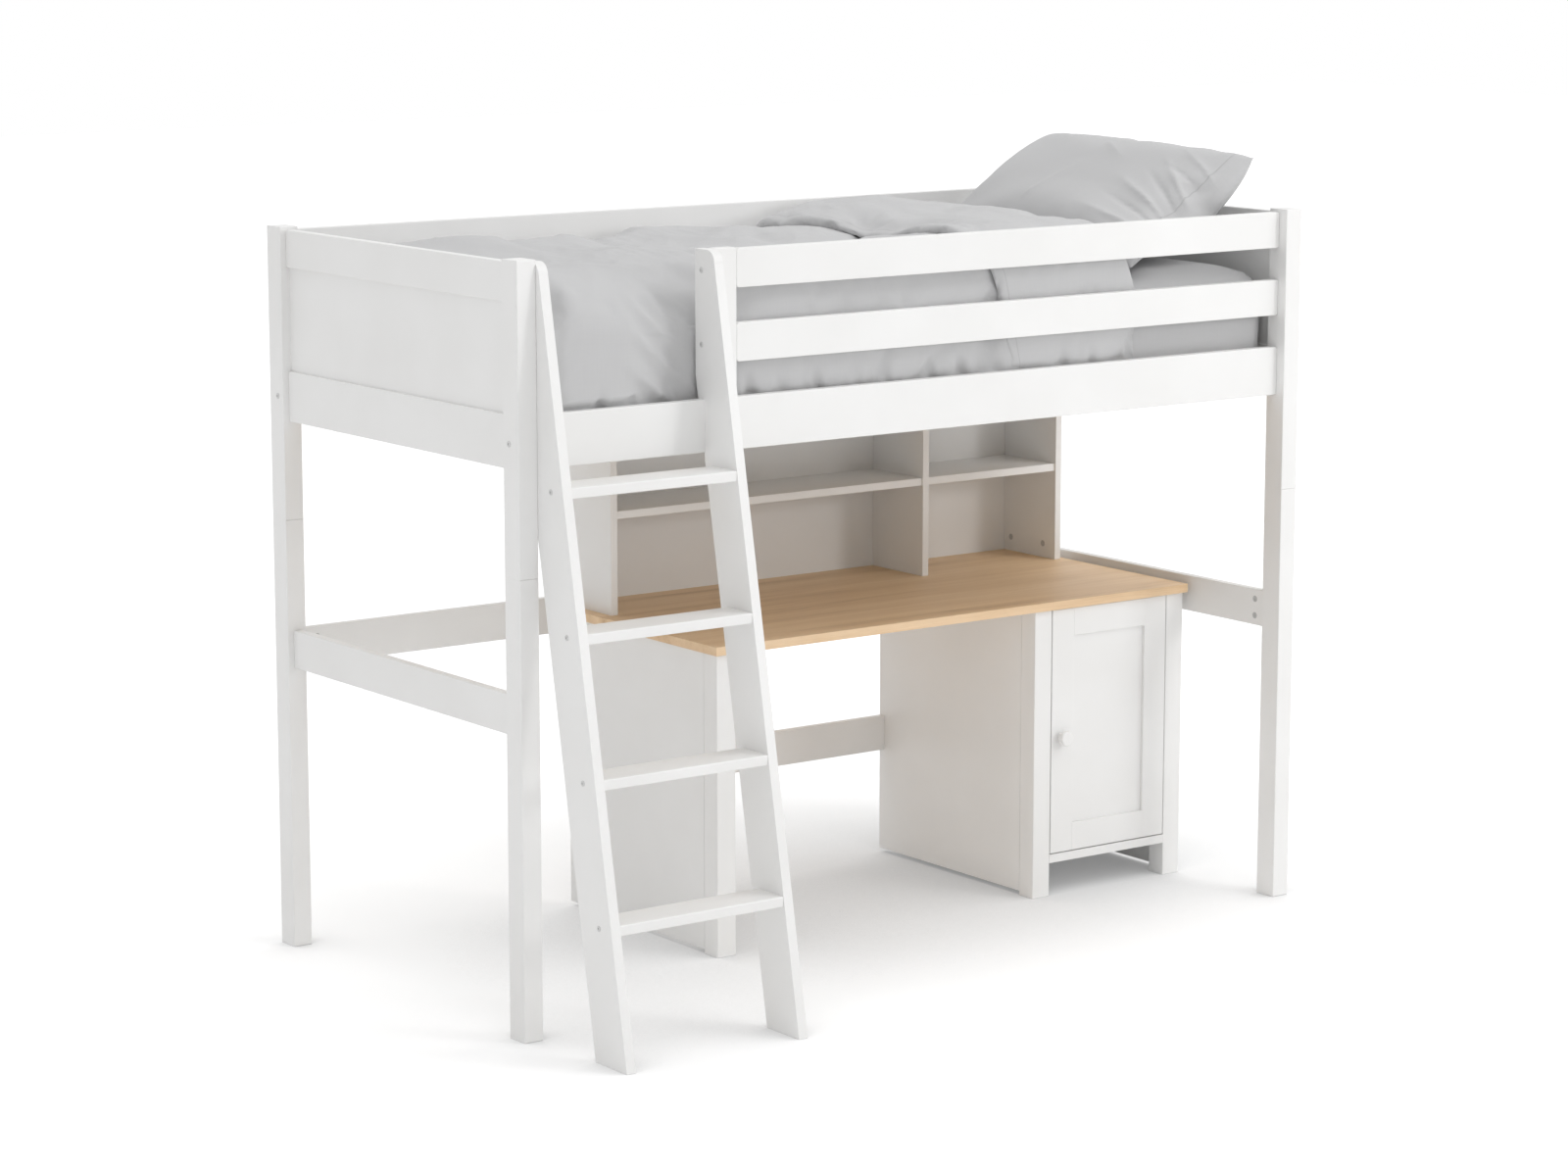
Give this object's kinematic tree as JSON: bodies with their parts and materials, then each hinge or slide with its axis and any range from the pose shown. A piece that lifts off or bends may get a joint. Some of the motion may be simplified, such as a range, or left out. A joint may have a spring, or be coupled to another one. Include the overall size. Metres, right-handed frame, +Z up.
{
  "type": "cabin bed",
  "caption": "Raised single cabin bed with leaning ladder, guard rails and bedding over a free-standing desk with open shelf unit and door cupboard.",
  "frame": {"origin": "on the floor, at the middle of the outline seen from above, ladder foot to back posts and foot end to head end", "axes": "+X along the bed from the foot end to the pillow end, +Y from the ladder side to the back, +Z up"},
  "size_m": [2.1122, 1.311, 1.7415],
  "materials": {
    "white_paint": "smooth satin white paint on wood and fibreboard",
    "oak_desktop": "matt oak-effect surface with straight grain along the desk",
    "bare_pine": "planed, untreated",
    "coated_steel": "light grey coated bolt heads",
    "zinc_steel": "zinc-plated",
    "mattress_cover": "fitted grey cotton sheet",
    "grey_cotton": "plain woven cotton with piped seams"
  },
  "bodies": {
    "bed": {"leg_front_left": "white_paint", "leg_front_right": "white_paint", "leg_back_left": "white_paint", "leg_back_right": "white_paint", "post_front_left": "white_paint", "post_front_right": "white_paint", "post_back_left": "white_paint", "post_back_right": "white_paint", "leg_dowels": "bare_pine", "foot_top_rail": "white_paint", "foot_panel": "white_paint", "foot_bottom_rail": "white_paint", "head_top_rail": "white_paint", "head_panel": "white_paint", "head_bottom_rail": "white_paint", "front_side_rail": "white_paint", "back_side_rail": "white_paint", "guard_top_rail": "white_paint", "guard_mid_rail": "white_paint", "guard_post": "white_paint", "back_guard_top_rail": "white_paint", "back_guard_mid_rail": "white_paint", "lower_rail_foot": "white_paint", "lower_rail_head": "white_paint", "lower_rail_back": "white_paint", "slat_bearers": "bare_pine", "bed_slats": "bare_pine", "ladder_stile_left": "white_paint", "ladder_stile_right": "white_paint", "ladder_treads": "white_paint", "ladder_bolts": "coated_steel", "frame_bolts": "coated_steel", "barrel_nuts": "zinc_steel", "rail_dowels": "bare_pine", "cam_locks": "zinc_steel", "cam_bolts": "zinc_steel", "mattress": "mattress_cover", "duvet": "grey_cotton", "pillow": "grey_cotton", "desk_top": "oak_desktop", "desk_side_panel": "white_paint", "desk_pillars": "white_paint", "desk_back_rail": "white_paint", "cupboard_left_panel": "white_paint", "cupboard_right_panel": "white_paint", "cupboard_floor": "white_paint", "cupboard_back": "white_paint", "cupboard_shelf": "white_paint", "shelf_pins": "zinc_steel", "hinge_arms": "zinc_steel", "hutch_sides": "white_paint", "hutch_divider": "white_paint", "hutch_top": "white_paint", "hutch_back": "white_paint", "hutch_shelves": "white_paint"},
    "door": {"door_stiles": "white_paint", "door_rails": "white_paint", "door_panel": "white_paint", "door_knob": "white_paint", "hinge_cups": "zinc_steel"}
  },
  "joints": [
    {"name": "door_hinge", "type": "hinge", "parent": "bed", "child": "door", "pos_m": [0.94325, -0.0355, 0.388], "axis": [0, 0, 1], "range_deg": [0, 95]}
  ]
}
